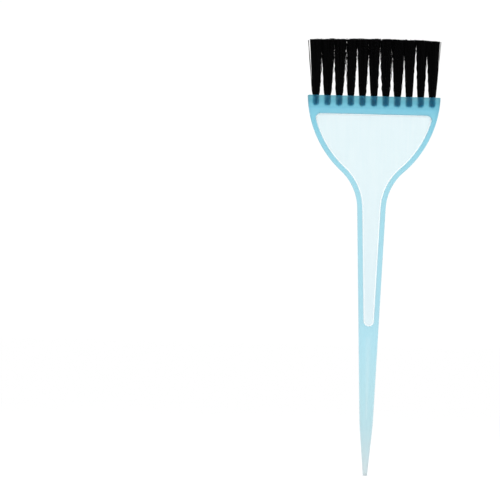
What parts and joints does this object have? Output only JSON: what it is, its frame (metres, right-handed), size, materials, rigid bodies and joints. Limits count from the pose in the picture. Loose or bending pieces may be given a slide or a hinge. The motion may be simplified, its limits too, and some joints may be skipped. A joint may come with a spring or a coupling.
{
  "type": "tint brush",
  "caption": "Wide flat hair-tinting brush: translucent fan-shaped head with a sunken panel, a long tapered pointed tail and rows of black bristle tufts set in the head.",
  "frame": {"origin": "the rounded tip of the tail, on the brush's long centreline", "axes": "+Z along the brush from the tail's tip to the bristle ends, +Y through the thickness from the front face to the back face, X across the width"},
  "size_m": [0.067, 0.0098, 0.2205],
  "materials": {
    "translucent_plastic": "translucent, satin moulded polypropylene, tinted pale cyan",
    "bristle": "satin black nylon filament",
    "anchor_wire": "drawn flat galvanised wire, bright"
  },
  "bodies": {
    "root": {"handle": "translucent_plastic", "front_tuft_01": "bristle", "front_tuft_02": "bristle", "front_tuft_03": "bristle", "front_tuft_04": "bristle", "front_tuft_05": "bristle", "front_tuft_06": "bristle", "front_tuft_07": "bristle", "front_tuft_08": "bristle", "front_tuft_09": "bristle", "front_tuft_10": "bristle", "front_tuft_11": "bristle", "rear_tuft_01": "bristle", "rear_tuft_02": "bristle", "rear_tuft_03": "bristle", "rear_tuft_04": "bristle", "rear_tuft_05": "bristle", "rear_tuft_06": "bristle", "rear_tuft_07": "bristle", "rear_tuft_08": "bristle", "rear_tuft_09": "bristle", "rear_tuft_10": "bristle", "rear_tuft_11": "bristle", "front_row_anchors": "anchor_wire", "rear_row_anchors": "anchor_wire"}
  },
  "joints": []
}
